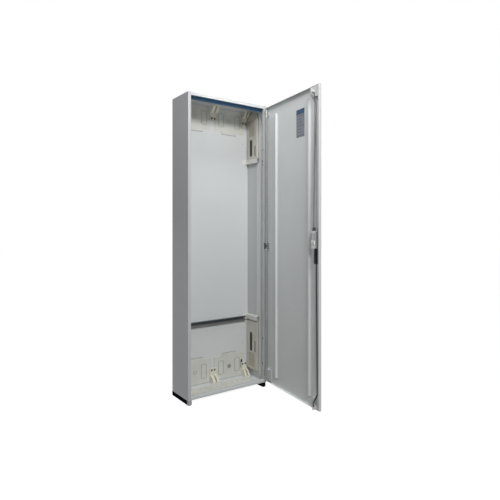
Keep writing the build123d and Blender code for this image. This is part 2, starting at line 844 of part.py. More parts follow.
def stiffener(centre_s):
    """Hat-shaped stiffener on the inside of the door."""
    low = door_skin_m + stiffener_sheet / 2
    high = door_skin_m + stiffener_height - stiffener_sheet / 2
    crown = stiffener_crown / 2
    base = crown + stiffener_slope
    path = [
        (centre_s - base - stiffener_flange, low),
        (centre_s - base, low),
        (centre_s - crown, high),
        (centre_s + crown, high),
        (centre_s + base, low),
        (centre_s + base + stiffener_flange, low),
    ]
    return folded_sheet(
        door_section(stiffener_high_z), path, stiffener_high_z - stiffener_low_z, stiffener_sheet, radius=1.2
    )


def hinge_cover():
    """Moulded cover over the leaf of the bottom hinge, with slanting ridges and a pocket for the leaf."""
    centre_z = cover_low_z + cover_height / 2
    top_m = door_skin_m + cover_depth
    pitch = cover_height / cover_rib_count
    with BuildPart() as cover:
        with BuildSketch(door_section(cover_low_z + cover_height)):
            with BuildLine():
                Polyline(
                    (cover_start_s, door_skin_m),
                    (cover_start_s, top_m),
                    (cover_start_s + cover_length * 0.55, top_m),
                    (cover_start_s + cover_length, door_skin_m + cover_pocket_depth + 2.0),
                    (cover_start_s + cover_length, door_skin_m),
                    close=True,
                )
            make_face()
        extrude(amount=cover_height)
        with BuildSketch(door_face(door_skin_m + cover_pocket_depth + 2.0)):
            with Locations((cover_start_s + cover_length * 0.45, centre_z)):
                with GridLocations(0, pitch, 1, cover_rib_count):
                    Rectangle(cover_length, pitch * 0.45, rotation=-14)
        extrude(amount=cover_depth, mode=Mode.SUBTRACT)
        with BuildSketch(door_face(door_skin_m)):
            with Locations((hinge_leaf_length / 2, hinge_heights[0])):
                Rectangle(hinge_leaf_length + 2.0, hinge_height + 2.0)
        extrude(amount=cover_pocket_depth, mode=Mode.SUBTRACT)
    return cover.part


def rod_guide_top():
    """Corner piece that guides the upper rod past the strip to the roof rim."""
    centre_s = sum(guide_base_s) / 2
    base_width = guide_base_s[1] - guide_base_s[0]
    base_top_z = door_high_z - door_sheet
    base_depth = door_depth / 2 - door_sheet - door_skin_m
    with BuildPart() as guide:
        with BuildSketch(door_face(door_skin_m)):
            with Locations((centre_s, (guide_top_low_z + base_top_z) / 2)):
                RectangleRounded(base_width, base_top_z - guide_top_low_z, 4.0)
        extrude(amount=base_depth)
        with BuildSketch(door_section(guide_top_boss_z[1])):
            with Locations((upper_rod_s, rod_tip_m)):
                Circle(guide_boss_radius)
        extrude(amount=guide_top_boss_z[1] - guide_top_boss_z[0])
        with BuildSketch(door_section(guide_top_arm_z[1])):
            with Locations((upper_rod_s, (door_skin_m + rod_tip_m) / 2)):
                Rectangle(guide_arm_width, rod_tip_m - door_skin_m)
        extrude(amount=guide_top_arm_z[1] - guide_top_arm_z[0])
        with BuildSketch(door_section(door_high_z)):
            with Locations((upper_rod_s, rod_tip_m)):
                Circle(rod_radius + rod_clearance)
        extrude(amount=door_high_z - guide_top_low_z, mode=Mode.SUBTRACT)
        with BuildSketch(door_face(rod_door_m - rod_radius - rod_clearance)):
            with Locations((upper_rod_s, guide_top_low_z)):
                Rectangle(2 * (rod_radius + rod_clearance), 2 * (rod_travel + rod_radius))
        extrude(amount=door_depth, mode=Mode.SUBTRACT)
    return guide.part


def rod_guide_bottom():
    """Corner piece that guides the lower rod to the floor rim."""
    centre_s = sum(guide_base_s) / 2
    base_width = guide_base_s[1] - guide_base_s[0]
    base_low_z = door_low_z + door_sheet
    base_depth = door_depth / 2 - door_sheet - door_skin_m
    boss_low_z, boss_high_z = guide_bottom_boss_z
    with BuildPart() as guide:
        with BuildSketch(door_face(door_skin_m)):
            with Locations((centre_s, (base_low_z + guide_bottom_high_z) / 2)):
                RectangleRounded(base_width, guide_bottom_high_z - base_low_z, 4.0)
        extrude(amount=base_depth)
        with BuildSketch(door_section(boss_high_z)):
            with Locations((lower_rod_s, rod_tip_m)):
                Circle(guide_boss_radius)
            with Locations((lower_rod_s, (door_skin_m + rod_tip_m) / 2)):
                Rectangle(guide_arm_width, rod_tip_m - door_skin_m)
        extrude(amount=boss_high_z - boss_low_z)
        with BuildSketch(door_section(guide_bottom_high_z)):
            with Locations((lower_rod_s, rod_tip_m)):
                Circle(rod_radius + rod_clearance)
        extrude(amount=guide_bottom_high_z - door_low_z, mode=Mode.SUBTRACT)
        with BuildSketch(door_face(door_skin_m)):
            with Locations((lower_rod_s, guide_bottom_high_z)):
                Rectangle(2 * (rod_radius + rod_clearance), 2 * (guide_bottom_high_z - boss_high_z))
        extrude(amount=door_depth, mode=Mode.SUBTRACT)
    return guide.part


def lock_case():
    """Open channel on the door skin that carries the spindle and guides both racks."""
    height = case_high_z - case_low_z
    centre_z = (case_high_z + case_low_z) / 2
    with BuildPart() as case:
        with BuildSketch(door_face(door_skin_m)):
            with Locations((spindle_s, centre_z)):
                Rectangle(2 * (case_inner_half + case_wall), height)
        extrude(amount=case_depth)
        with BuildSketch(door_face(door_skin_m + case_wall)):
            with Locations((spindle_s, centre_z)):
                Rectangle(2 * case_inner_half, height)
        extrude(amount=case_depth, mode=Mode.SUBTRACT)
        with BuildSketch(door_face(door_skin_m)):
            with Locations((spindle_s, spindle_z)):
                Circle(spindle_radius + running_clearance)
        extrude(amount=case_wall, mode=Mode.SUBTRACT)
    return case.part


def lock_cover():
    """Cover of the lock case: windows over the racks and a cross bar with the spindle's bearing."""
    centre_z = (case_high_z + case_low_z) / 2
    window_z = case_high_z - case_window_drop - case_window_height / 2
    window_pitch = 2 * (rack_outer - case_window_width / 2 - 1.0)
    with BuildPart() as cover:
        with BuildSketch(door_face(case_cover_m)):
            with Locations((spindle_s, centre_z)):
                RectangleRounded(2 * (case_inner_half + case_wall), case_high_z - case_low_z, 4.0)
            with Locations((spindle_s, window_z)):
                with GridLocations(window_pitch, 0, 2, 1):
                    RectangleRounded(case_window_width, case_window_height, 2.0, mode=Mode.SUBTRACT)
        extrude(amount=case_cover)
        with BuildSketch(door_face(case_cover_m + case_cover)):
            with Locations((spindle_s, spindle_z)):
                Rectangle(2 * case_inner_half, case_bar_height)
        extrude(amount=case_bar_thickness)
        with BuildSketch(door_face(case_cover_m)):
            with Locations((spindle_s, spindle_z)):
                Circle(spindle_journal_radius + running_clearance)
        extrude(amount=case_cover + case_bar_thickness, mode=Mode.SUBTRACT)
    return cover.part


def involute_point(base_radius, roll, turn):
    """Point of an involute of the base circle after a given roll, turned about the centre."""
    x = base_radius * (math.cos(roll) + roll * math.sin(roll))
    y = base_radius * (math.sin(roll) - roll * math.cos(roll))
    return (x * math.cos(turn) - y * math.sin(turn), x * math.sin(turn) + y * math.cos(turn))


def pinion_outline():
    """Closed outline of the pinion: involute flanks with straight roots and tips."""
    alpha = math.radians(pressure_angle)
    base_radius = pitch_radius * math.cos(alpha)
    tip_radius = pitch_radius + pinion_addendum * gear_module
    root_radius = pitch_radius - dedendum * gear_module
    tip_roll = math.sqrt((tip_radius / base_radius) ** 2 - 1)
    half_tooth = (math.pi * gear_module / 2 - tooth_backlash) / (2 * pitch_radius)
    flank_turn = half_tooth + math.tan(alpha) - alpha
    steps = 4
    points = []
    for tooth in range(pinion_teeth):
        middle = 2 * math.pi * tooth / pinion_teeth
        root_angle = middle - flank_turn
        points.append((root_radius * math.cos(root_angle), root_radius * math.sin(root_angle)))
        for step in range(steps + 1):
            roll = tip_roll * step / steps
            points.append(involute_point(base_radius, roll, middle - flank_turn))
        for step in range(steps, -1, -1):
            roll = tip_roll * step / steps
            x, y = involute_point(base_radius, roll, 0)
            turn = middle + flank_turn
            points.append((x * math.cos(turn) + y * math.sin(turn), x * math.sin(turn) - y * math.cos(turn)))
        root_angle = middle + flank_turn
        points.append((root_radius * math.cos(root_angle), root_radius * math.sin(root_angle)))
    return [(spindle_s + x, spindle_z + y) for x, y in points]


def pinion():
    """Pinion on the spindle; a tooth points at each rack when the lock is open."""
    with BuildPart() as gear:
        with BuildSketch(door_face(gear_plane_m - gear_thickness / 2)):
            with BuildLine():
                Polyline(*pinion_outline(), close=True)
            make_face()
            with Locations((spindle_s, spindle_z)):
                Circle(spindle_radius + hinge_press_clearance, mode=Mode.SUBTRACT)
        extrude(amount=gear_thickness)
    return gear.part


def rack_outline(side, low_z, high_z, tooth_low_z, tooth_high_z):
    """Outline of a rack beside the pinion: side -1 is towards the hinge, +1 towards the free edge."""
    pitch = math.pi * gear_module
    slope = math.tan(math.radians(pressure_angle))
    tip = pitch_radius - rack_addendum * gear_module
    half_tooth = (pitch / 2 - tooth_backlash) / 2
    tip_half = half_tooth - rack_addendum * gear_module * slope
    root_half = half_tooth + dedendum * gear_module * slope
    points = [(side * rack_outer, low_z), (side * rack_root, low_z)]
    first = math.ceil((tooth_low_z - spindle_z) / pitch - 0.5)
    last = math.floor((tooth_high_z - spindle_z) / pitch - 0.5)
    for index in range(first, last + 1):
        z = spindle_z + (index + 0.5) * pitch
        points.append((side * rack_root, z - root_half))
        points.append((side * tip, z - tip_half))
        points.append((side * tip, z + tip_half))
        points.append((side * rack_root, z + root_half))
    points.append((side * rack_root, high_z))
    points.append((side * rack_outer, high_z))
    return [(spindle_s + s, z) for s, z in points]


def upper_rack():
    """Rack on the hinge side of the pinion with the block that holds the upper rod."""
    low_z = spindle_z - rack_tooth_reach - rod_travel
    block_low_z = case_high_z + coupling_gap
    block_m = gear_plane_m - gear_thickness / 2 - 1.0
    outline = rack_outline(-1, low_z, block_low_z, low_z + 1.0, spindle_z + rack_tooth_reach)
    with BuildPart() as rack:
        with BuildSketch(door_face(gear_plane_m - gear_thickness / 2)):
            with BuildLine():
                Polyline(*outline, close=True)
            make_face()
        extrude(amount=gear_thickness)
        with BuildSketch(door_face(block_m)):
            with Locations((spindle_s - rack_outer + coupling_width / 2, block_low_z + coupling_height / 2)):
                Rectangle(coupling_width, coupling_height)
        extrude(amount=gear_thickness + 2.0)
        with BuildSketch(door_section(block_low_z + coupling_height)):
            with Locations((upper_rod_s, gear_plane_m)):
                Circle(rod_radius + hinge_press_clearance)
        extrude(amount=coupling_height - 4.0, mode=Mode.SUBTRACT)
    return rack.part


def lower_rack():
    """Rack on the free side of the pinion; its tail hangs down into the coupling sleeve."""
    high_z = spindle_z + rack_tooth_reach + rod_travel
    tail_z = case_low_z - 2 * coupling_height
    outline = rack_outline(1, tail_z, high_z, spindle_z - rack_tooth_reach, high_z - 1.0)
    with BuildPart() as rack:
        with BuildSketch(door_face(gear_plane_m - gear_thickness / 2)):
            with BuildLine():
                Polyline(*outline, close=True)
            make_face()
        extrude(amount=gear_thickness)
    return rack.part


def coupling_sleeve():
    """Black sleeve that joins the tail of the lower rack to the lower rod."""
    high_z = case_low_z - coupling_gap
    tail_low_z = case_low_z - 2 * coupling_height
    low_m = lower_rod_lock_m - rod_radius - 2.0
    high_m = gear_plane_m + gear_thickness / 2 + 2.0
    tail_s = spindle_s + (rack_root + rack_outer) / 2
    with BuildPart() as sleeve:
        with BuildSketch(door_section(high_z)):
            with Locations((lower_rod_s + 1.5, (low_m + high_m) / 2)):
                Rectangle(sleeve_width, high_m - low_m)
        extrude(amount=high_z - sleeve_low_z)
        chamfer(sleeve.faces().sort_by(Axis.Z)[0].edges(), length=2.0)
        with BuildSketch(door_section(high_z)):
            with Locations((tail_s, gear_plane_m)):
                Rectangle(rack_outer - rack_root + 0.1, gear_thickness + 0.1)
        extrude(amount=high_z - tail_low_z + 0.1, mode=Mode.SUBTRACT)
        with BuildSketch(door_section(sleeve_low_z + 2 * coupling_height)):
            with Locations((lower_rod_s, lower_rod_lock_m)):
                Circle(rod_radius + hinge_press_clearance)
        extrude(amount=2 * coupling_height, mode=Mode.SUBTRACT)
    return sleeve.part


def bent_rod(s, stations):
    """Round rod bent in one plane square to the door; stations are (m, z) pairs."""
    points = [hinge_line + leaf * s + inward * m + Vector(0, 0, z) for m, z in stations]
    with BuildPart() as rod:
        with BuildLine() as path:
            FilletPolyline(*points, radius=[rod_lean_radius, rod_bend_radius, rod_bend_radius])
        with BuildSketch(Plane(origin=path.line @ 0, z_dir=path.line % 0)):
            Circle(rod_radius)
        sweep()
    return rod.part


def upper_rod():
    """Upper lock rod: leans from the lock to the door skin, then cranks out to its tip."""
    block_low_z = case_high_z + coupling_gap
    tip_z = roof_z - rim_width - rod_tip_gap
    return bent_rod(
        upper_rod_s,
        [
            (gear_plane_m, block_low_z + 4.0),
            (gear_plane_m, block_low_z + coupling_height + 8.0),
            (rod_door_m, upper_crank_z[0]),
            (rod_tip_m, upper_crank_z[1]),
            (rod_tip_m, tip_z),
        ],
    )


def lower_rod():
    """Lower lock rod: from the sleeve down to the door skin, then cranks out to its tip."""
    tip_z = floor_z + rim_width + rod_tip_gap
    return bent_rod(
        lower_rod_s,
        [
            (lower_rod_lock_m, sleeve_low_z + 2 * coupling_height),
            (lower_rod_lock_m, sleeve_low_z - 8.0),
            (rod_door_m, lower_crank_z[0]),
            (rod_tip_m, lower_crank_z[1]),
            (rod_tip_m, tip_z),
        ],
    )


def spindle():
    """Lock spindle: from the key insert through the pinion to the bearing in the cover."""
    outer_m = door_skin_m - insert_seat
    shoulder_m = case_cover_m - case_clearance / 2
    with BuildPart() as shaft:
        with BuildSketch(door_face(outer_m)):
            with Locations((spindle_s, spindle_z)):
                Circle(spindle_radius)
        extrude(amount=shoulder_m - outer_m)
        with BuildSketch(door_face(shoulder_m)):
            with Locations((spindle_s, spindle_z)):
                Circle(spindle_journal_radius)
        extrude(amount=case_cover + case_bar_thickness + 1.5)
    return shaft.part


def escutcheon():
    """Ring on the outside of the door round the key insert."""
    with BuildPart() as ring:
        with BuildSketch(door_face(-door_depth / 2)):
            with Locations((spindle_s, spindle_z)):
                Circle(insert_radius + insert_clearance + escutcheon_width)
                Circle(insert_radius + insert_clearance, mode=Mode.SUBTRACT)
        extrude(amount=-escutcheon_thickness)
        outer_face = ring.faces().sort_by(Axis((0, 0, 0), tuple(inward)))[0]
        chamfer(outer_face.outer_wire().edges(), length=escutcheon_thickness / 2)
    return ring.part


def key_insert():
    """Round insert that a key turns: a recess crossed by a bar, upright when the lock is open."""
    inner_m = door_skin_m - insert_gap
    outer_m = -door_depth / 2 - escutcheon_thickness + insert_gap
    with BuildPart() as insert:
        with BuildSketch(door_face(inner_m)):
            with Locations((spindle_s, spindle_z)):
                Circle(insert_radius)
        extrude(amount=outer_m - inner_m)
        with BuildSketch(door_face(outer_m)):
            with Locations((spindle_s, spindle_z)):
                Circle(key_recess_radius)
                Rectangle(key_bar_width, 2 * key_recess_radius, mode=Mode.SUBTRACT)
        extrude(amount=key_recess_depth, mode=Mode.SUBTRACT)
        with BuildSketch(door_face(inner_m)):
            with Locations((spindle_s, spindle_z)):
                Circle(spindle_radius + hinge_press_clearance)
        extrude(amount=-insert_seat, mode=Mode.SUBTRACT)
    return insert.part


os.makedirs("parts", exist_ok=True)

# Body
sides = {"left": -1, "right": 1}
write(end_panel(True), "top_panel")
write(end_panel(False), "bottom_panel")
write(back_panel(), "back_panel")
write(end_entry_plate(True), "roof_entry_plate")
write(end_entry_plate(False), "floor_entry_plate")
write(top_strip(), "top_strip")
write(cross_rail(), "lower_cross_rail")
for side_name, side in sides.items():
    write(side_panel(side), f"side_panel_{side_name}")
    write(rear_entry_plate(side, True), f"rear_entry_plate_top_{side_name}")
    write(rear_entry_plate(side, False), f"rear_entry_plate_bottom_{side_name}")
    upper_cover = side_entry_cover(side, upper_cover_z, upper_slot_z, upper_recess_z)
    lower_cover = side_entry_cover(side, lower_cover_z, lower_slot_z, lower_recess_z)
    write(upper_cover, f"side_cover_upper_{side_name}")
    write(lower_cover, f"side_cover_lower_{side_name}")
    write(wall_strut(side), f"wall_strut_{side_name}")
    write(rail_bracket(side, upper_bracket_z), f"rail_bracket_upper_{side_name}")
    write(rail_bracket(side, lower_bracket_z), f"rail_bracket_lower_{side_name}")
    write(foot_runner(side), f"foot_runner_{side_name}")
    write(foot_cap(side), f"foot_cap_{side_name}")
    write(frame_holder(side * holder_side_x, holder_side_width, True), f"frame_holder_top_{side_name}")
    write(frame_holder(side * holder_side_x, holder_side_width, False), f"frame_holder_bottom_{side_name}")
write(frame_holder(0, holder_centre_width, True), "frame_holder_top_centre")
write(frame_holder(0, holder_centre_width, False), "frame_holder_bottom_centre")
rail_web_front = rear_sheet_y - bracket_sheet - rail_sheet
write(
    screw_set(
        [
            Plane(origin=(x, rail_web_front, rail_screw_z), z_dir=(0, -1, 0))
            for x in (-rail_screw_x, rail_screw_x)
        ],
        rail_sheet + bracket_sheet,
    ),
    "rail_screws",
)

# Hinges
leaf_front = hinge_line + inward * (door_skin_m + hinge_leaf_sheet)
leaf_screw_planes = []
for hinge_name, hinge_z in zip(("bottom", "middle", "top"), hinge_heights):
    write(hinge_bracket(hinge_z), f"hinge_bracket_{hinge_name}")
    write(hinge_leaf(hinge_z), f"hinge_leaf_{hinge_name}")
    for screw_z in (hinge_z - hinge_leaf_hole_z, hinge_z + hinge_leaf_hole_z):
        place = leaf_front + leaf * hinge_leaf_hole_s + Vector(0, 0, screw_z)
        leaf_screw_planes.append(Plane(origin=place, z_dir=inward))
write(hinge_pins(), "hinge_pins")
write(screw_set(leaf_screw_planes, hinge_leaf_sheet), "hinge_leaf_screws")
write(hinge_cover(), "hinge_cover_bottom")

# Door
write(door_panel(), "door_panel")
for stiffener_name, s in zip(("hinge_side", "lock_side"), stiffener_positions):
    write(stiffener(s), f"door_stiffener_{stiffener_name}")
write(rod_guide_top(), "rod_guide_top")
write(rod_guide_bottom(), "rod_guide_bottom")

# Lock
write(lock_case(), "lock_case")
write(lock_cover(), "lock_cover")
write(escutcheon(), "lock_escutcheon")
write(spindle(), "lock_spindle")
write(pinion(), "lock_pinion")
write(key_insert(), "key_insert")
write(upper_rack(), "upper_rack")
write(upper_rod(), "upper_rod")
write(lower_rack(), "lower_rack")
write(coupling_sleeve(), "lower_coupling_sleeve")
write(lower_rod(), "lower_rod")
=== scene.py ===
"""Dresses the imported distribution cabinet: powder coat, mouldings, zinc, light, floor and camera.

Metres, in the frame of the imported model: +Z up, the open front faces -Y, the door hangs on the +X side.
"""
import json
import math

import bmesh
import bpy
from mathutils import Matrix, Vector


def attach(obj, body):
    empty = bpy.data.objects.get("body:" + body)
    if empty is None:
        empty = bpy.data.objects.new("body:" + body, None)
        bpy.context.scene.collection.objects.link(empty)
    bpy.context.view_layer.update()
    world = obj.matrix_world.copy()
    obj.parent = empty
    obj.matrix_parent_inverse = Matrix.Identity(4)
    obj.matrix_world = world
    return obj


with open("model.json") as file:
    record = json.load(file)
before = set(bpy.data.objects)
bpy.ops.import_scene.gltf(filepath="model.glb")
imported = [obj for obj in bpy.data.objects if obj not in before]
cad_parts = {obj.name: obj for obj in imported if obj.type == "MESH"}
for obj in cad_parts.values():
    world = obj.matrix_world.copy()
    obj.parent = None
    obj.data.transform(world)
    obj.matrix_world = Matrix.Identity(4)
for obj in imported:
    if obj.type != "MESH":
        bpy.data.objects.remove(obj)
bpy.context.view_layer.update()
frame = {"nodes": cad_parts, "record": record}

scene = bpy.context.scene

# Camera, fitted to the corners of the body and the door; angles in degrees, lens and sensor in millimetres
camera_place = Vector((-1.5508, -2.4638, 1.0577))
camera_yaw = 34.79
camera_lens = 32.05
camera_sensor = 36.0
camera_shift_x = 0.0184
camera_shift_y = -0.0422

# Directions in the cabinet, and its two sides with the sign of their x
eastwards = Vector((1, 0, 0))
to_back = Vector((0, 1, 0))
to_front = Vector((0, -1, 0))
upwards = Vector((0, 0, 1))
both_sides = (("left", -1), ("right", 1))

# Directions on the door, from its hinge joint, and the inner face of its sheet
joints = {joint["name"]: joint for joint in frame["record"]["behaviour"]["joints"]}
door_joint = joints["door_swing"]
door_angle = math.radians(-door_joint["range_deg"][0])
hinge = Vector((door_joint["pos_m"][0], door_joint["pos_m"][1], 0.0))
door_leaf = Vector((-math.cos(door_angle), -math.sin(door_angle), 0.0))
door_inward = Vector((-math.sin(door_angle), math.cos(door_angle), 0.0))
door_skin = -0.0068


def on_door(s, z, m):
    """World place of a point of the door: s from the hinge axis, z up, m towards the inside."""
    return hinge + door_leaf * s + door_inward * m + upwards * z


# Materials


class Look:
    """A node material under construction, with short calls for the nodes that the looks share."""

    def __init__(self, name):
        self.material = bpy.data.materials.new(name)
        self.material.use_nodes = True
        self.tree = self.material.node_tree
        self.shader = self.tree.nodes["Principled BSDF"]
        self.place = self.node("ShaderNodeTexCoord").outputs["Object"]

    def node(self, kind, **settings):
        made = self.tree.nodes.new(kind)
        for key, value in settings.items():
            setattr(made, key, value)
        return made

    def link(self, output, socket):
        self.tree.links.new(output, socket)

    def noise(self, scale, detail=3.0, stretch=(1, 1, 1)):
        mapping = self.node("ShaderNodeMapping")
        mapping.inputs["Scale"].default_value = stretch
        self.link(self.place, mapping.inputs["Vector"])
        texture = self.node("ShaderNodeTexNoise")
        texture.inputs["Scale"].default_value = scale
        texture.inputs["Detail"].default_value = detail
        self.link(mapping.outputs["Vector"], texture.inputs["Vector"])
        return texture.outputs["Fac"]

    def ramp(self, factor, low, high, start=0.0, end=1.0):
        made = self.node("ShaderNodeValToRGB")
        made.color_ramp.elements[0].position = start
        made.color_ramp.elements[1].position = end
        made.color_ramp.elements[0].color = (*low, 1)
        made.color_ramp.elements[1].color = (*high, 1)
        self.link(factor, made.inputs["Fac"])
        return made.outputs["Color"]

    def spread(self, factor, low, high):
        made = self.node("ShaderNodeMapRange")
        made.inputs["To Min"].default_value = low
        made.inputs["To Max"].default_value = high
        self.link(factor, made.inputs["Value"])
        return made.outputs["Result"]

    def bump(self, height, strength, distance, below=None):
        made = self.node("ShaderNodeBump")
        made.inputs["Strength"].default_value = strength
        made.inputs["Distance"].default_value = distance
        self.link(height, made.inputs["Height"])
        if below is not None:
            self.link(below, made.inputs["Normal"])
        return made.outputs["Normal"]

    def color(self, output):
        self.link(output, self.shader.inputs["Base Color"])

    def roughness(self, factor, low, high):
        self.link(self.spread(factor, low, high), self.shader.inputs["Roughness"])

    def relief(self, normal):
        self.link(normal, self.shader.inputs["Normal"])

    def gloss(self, level):
        self.shader.inputs["Specular IOR Level"].default_value = level

    def metallic(self, level):
        self.shader.inputs["Metallic"].default_value = level


def shade(color, factor):
    """The colour made lighter or darker by a factor."""
    return tuple(min(1.0, channel * factor) for channel in color)


def powder_coat(name, color, roughness=0.42):
    """Fine-textured powder coat with slight orange peel and a faint unevenness of tone."""
    look = Look(name)
    look.color(look.ramp(look.noise(2.2), shade(color, 0.975), shade(color, 1.02), 0.3, 0.7))
    look.roughness(look.noise(35.0), roughness - 0.05, roughness + 0.06)
    peel = look.bump(look.noise(420.0, detail=1.0), strength=0.12, distance=0.0004)
    look.relief(look.bump(look.noise(1500.0, detail=2.0), strength=0.10, distance=0.0001, below=peel))
    look.gloss(0.45)
    return look.material


def moulding(name, color, roughness=0.5, gloss=0.5):
    """Injection moulding with a spark-eroded grain and faint flow marks."""
    look = Look(name)
    look.gloss(gloss)
    look.color(look.ramp(look.noise(14.0, detail=2.0), shade(color, 0.95), shade(color, 1.04), 0.3, 0.7))
    look.roughness(look.noise(60.0), roughness - 0.06, roughness + 0.06)
    look.relief(look.bump(look.noise(900.0, detail=3.0), strength=0.2, distance=0.0002))
    return look.material


def zinc(name, color, roughness=0.38):
    """Zinc plate: cloudy tone, fine spangle and scattered dull spots."""
    look = Look(name)
    spangle = look.node("ShaderNodeTexVoronoi")
    spangle.inputs["Scale"].default_value = 260.0
    look.link(look.place, spangle.inputs["Vector"])
    look.color(look.ramp(look.noise(28.0, detail=4.0), shade(color, 0.78), shade(color, 1.12), 0.3, 0.72))
    look.roughness(look.noise(90.0, detail=5.0), roughness - 0.1, roughness + 0.14)
    look.relief(look.bump(spangle.outputs["Distance"], strength=0.08, distance=0.0003))
    look.metallic(0.85)
    return look.material


def drawn_steel(name, color, roughness=0.34):
    """Drawn steel rod: fine lines along its length and dull patches."""
    look = Look(name)
    clouds = look.noise(40.0, detail=4.0, stretch=(1, 1, 0.12))
    look.color(look.ramp(clouds, shade(color, 0.75), shade(color, 1.15), 0.3, 0.7))
    along = (1, 1, 0.02)
    look.roughness(look.noise(700.0, detail=2.0, stretch=along), roughness - 0.08, roughness + 0.12)
    look.relief(look.bump(look.noise(1200.0, detail=2.0, stretch=along), strength=0.2, distance=0.0001))
    look.metallic(0.9)
    return look.material


def zinc_rail_with_painted_shade(name, low_color, top_shade_color, low_z, high_z):
    """Zinc-plated rolled rail with painted shade that darkens it towards its upper flange, where the
    flange's lip shades it.
    """
    look = Look(name)
    split = look.node("ShaderNodeSeparateXYZ")
    look.link(look.place, split.inputs[0])
    level = look.node("ShaderNodeMapRange")
    level.inputs["From Min"].default_value = low_z
    level.inputs["From Max"].default_value = high_z
    look.link(split.outputs["Z"], level.inputs["Value"])
    look.color(look.ramp(level.outputs["Result"], low_color, top_shade_color, 0.3, 0.55))
    look.roughness(look.noise(90.0, detail=5.0), 0.32, 0.5)
    grain = look.noise(300.0, detail=2.0, stretch=(0.1, 1, 1))
    look.relief(look.bump(grain, strength=0.15, distance=0.0002))
    look.metallic(0.35)
    return look.material


# Looks of the material slots, then of the nodes that differ from their slot
paint = (0.68, 0.70, 0.70)
# Painted shade on the rail: it goes from the lower colour to the top shade colour across these heights
rail_shade_z = (0.417, 0.447)
rail_low_color = (0.22, 0.22, 0.22)
rail_top_shade_color = (0.060, 0.072, 0.078)
slot_looks = {
    "grey_paint": powder_coat("grey_paint_look", paint),
    # The door, its stiffeners and the wall struts take lighter copies of the body paint: painted light
    "door_paint": powder_coat("door_paint_look", shade(paint, 1.12)),
    "stiffener_paint": powder_coat("stiffener_paint_look", shade(paint, 1.12)),
    "strut_paint": powder_coat("strut_paint_look", shade(paint, 1.1)),
    # The rail brackets take a paler, warmer copy of the body paint: painted light on the brackets
    "bracket_paint": powder_coat("bracket_paint_look", (0.76, 0.76, 0.73)),
    "leaf_paint": powder_coat("leaf_paint_look", shade(paint, 1.02)),
    "cream_plastic": moulding("cream_plastic_look", (0.66, 0.665, 0.615)),
    "holder_plastic": moulding("holder_plastic_look", (0.76, 0.74, 0.64)),
    "cover_plastic": moulding("cover_plastic_look", (0.62, 0.60, 0.53)),
    "blue_plastic": moulding("blue_plastic_look", (0.020, 0.078, 0.155), 0.45),
    "zinc_rail": zinc_rail_with_painted_shade("zinc_rail_look", rail_low_color, rail_top_shade_color, *rail_shade_z),
    "zinc_hinge": zinc("zinc_hinge_look", (0.55, 0.55, 0.54)),
    "zinc_screw": zinc("zinc_screw_look", (0.60, 0.60, 0.58), 0.3),
    "guide_plastic": moulding("guide_plastic_look", (0.66, 0.67, 0.66)),
    "lock_metal": powder_coat("lock_metal_look", (0.66, 0.67, 0.66), 0.36),
    # The racks' steel is darkened: painted shade inside the windows of the lock's cover
    "rack_metal": drawn_steel("rack_metal_look", (0.05, 0.05, 0.055)),
    "rod_metal": drawn_steel("rod_metal_look", (0.22, 0.23, 0.25)),
    "black_plastic": moulding("black_plastic_look", (0.016, 0.017, 0.02), 0.45),
    "foot_plastic": moulding("foot_plastic_look", (0.42, 0.44, 0.46)),
    "insert_metal": zinc("insert_metal_look", (0.20, 0.20, 0.21)),
}
runner_look = moulding("runner_look", (0.010, 0.011, 0.013), 0.6, gloss=0.0)
node_looks = {
    # The right foot cap takes the black of the runners while the left cap keeps the lighter grey of its
    # slot: caps of one make in two tones, the left cap's grey partly a painted highlight
    "foot_runner_left": runner_look,
    "foot_runner_right": runner_look,
    "foot_cap_right": runner_look,
    # The side panels take darker copies of the body paint, the left one tinted blue: painted shade
    "side_panel_left": powder_coat("left_side_look", (0.585, 0.597, 0.615)),
    "side_panel_right": powder_coat("right_side_look", (0.585, 0.602, 0.600)),
    # The upper rack, above the lock's case, takes a lighter copy of the racks' steel, without their painted
    # shade
    "upper_rack": drawn_steel("upper_rack_look", (0.20, 0.21, 0.22)),
    "lower_coupling_sleeve": moulding("sleeve_look", (0.012, 0.013, 0.016), 0.5, gloss=0.3),
    "lock_cover": powder_coat("lock_cover_look", (0.90, 0.90, 0.89), 0.36),
    # The lock's case is darkened: painted shade of the depth of its windows
    "lock_case": powder_coat("lock_case_look", (0.24, 0.25, 0.26), 0.36),
    # The upper and lower rods take a lighter and a darker copy of one drawn steel: painted light and shade
    "upper_rod": drawn_steel("upper_rod_look", (0.34, 0.35, 0.36)),
    "lower_rod": drawn_steel("lower_rod_look", (0.10, 0.10, 0.11)),
    # The middle hinge's bracket and leaf take darker copies of their zinc and paint: painted shade
    "hinge_bracket_middle": zinc("middle_hinge_look", (0.16, 0.18, 0.18)),
    "hinge_leaf_middle": powder_coat("middle_leaf_look", (0.36, 0.39, 0.38)),
}
for subpart in frame["record"]["subparts"]:
    node = frame["nodes"][subpart["node"]]
    node.data.materials.clear()
    node.data.materials.append(node_looks.get(subpart["node"], slot_looks[subpart["material_slot"]]))


# Pieces that only the picture needs


def finish_mesh(name, mesh, look, body):
    """Turns a finished bmesh into a piece that rides on a body."""
    bmesh.ops.recalc_face_normals(mesh, faces=mesh.faces)
    data = bpy.data.meshes.new(name)
    mesh.to_mesh(data)
    mesh.free()
    piece = bpy.data.objects.new(name, data)
    scene.collection.objects.link(piece)
    data.materials.append(look)
    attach(piece, body)


def rounded_outline(width, height, corner):
    """Points of a rectangle with round corners about its centre, anticlockwise."""
    steps = 5
    outline = []
    for side, level, start in ((1, 1, 0), (-1, 1, 90), (-1, -1, 180), (1, -1, 270)):
        centre_u = side * (width / 2 - corner)
        centre_v = level * (height / 2 - corner)
        for step in range(steps + 1):
            turn = math.radians(start + 90 * step / steps)
            outline.append((centre_u + corner * math.cos(turn), centre_v + corner * math.sin(turn)))
    return outline


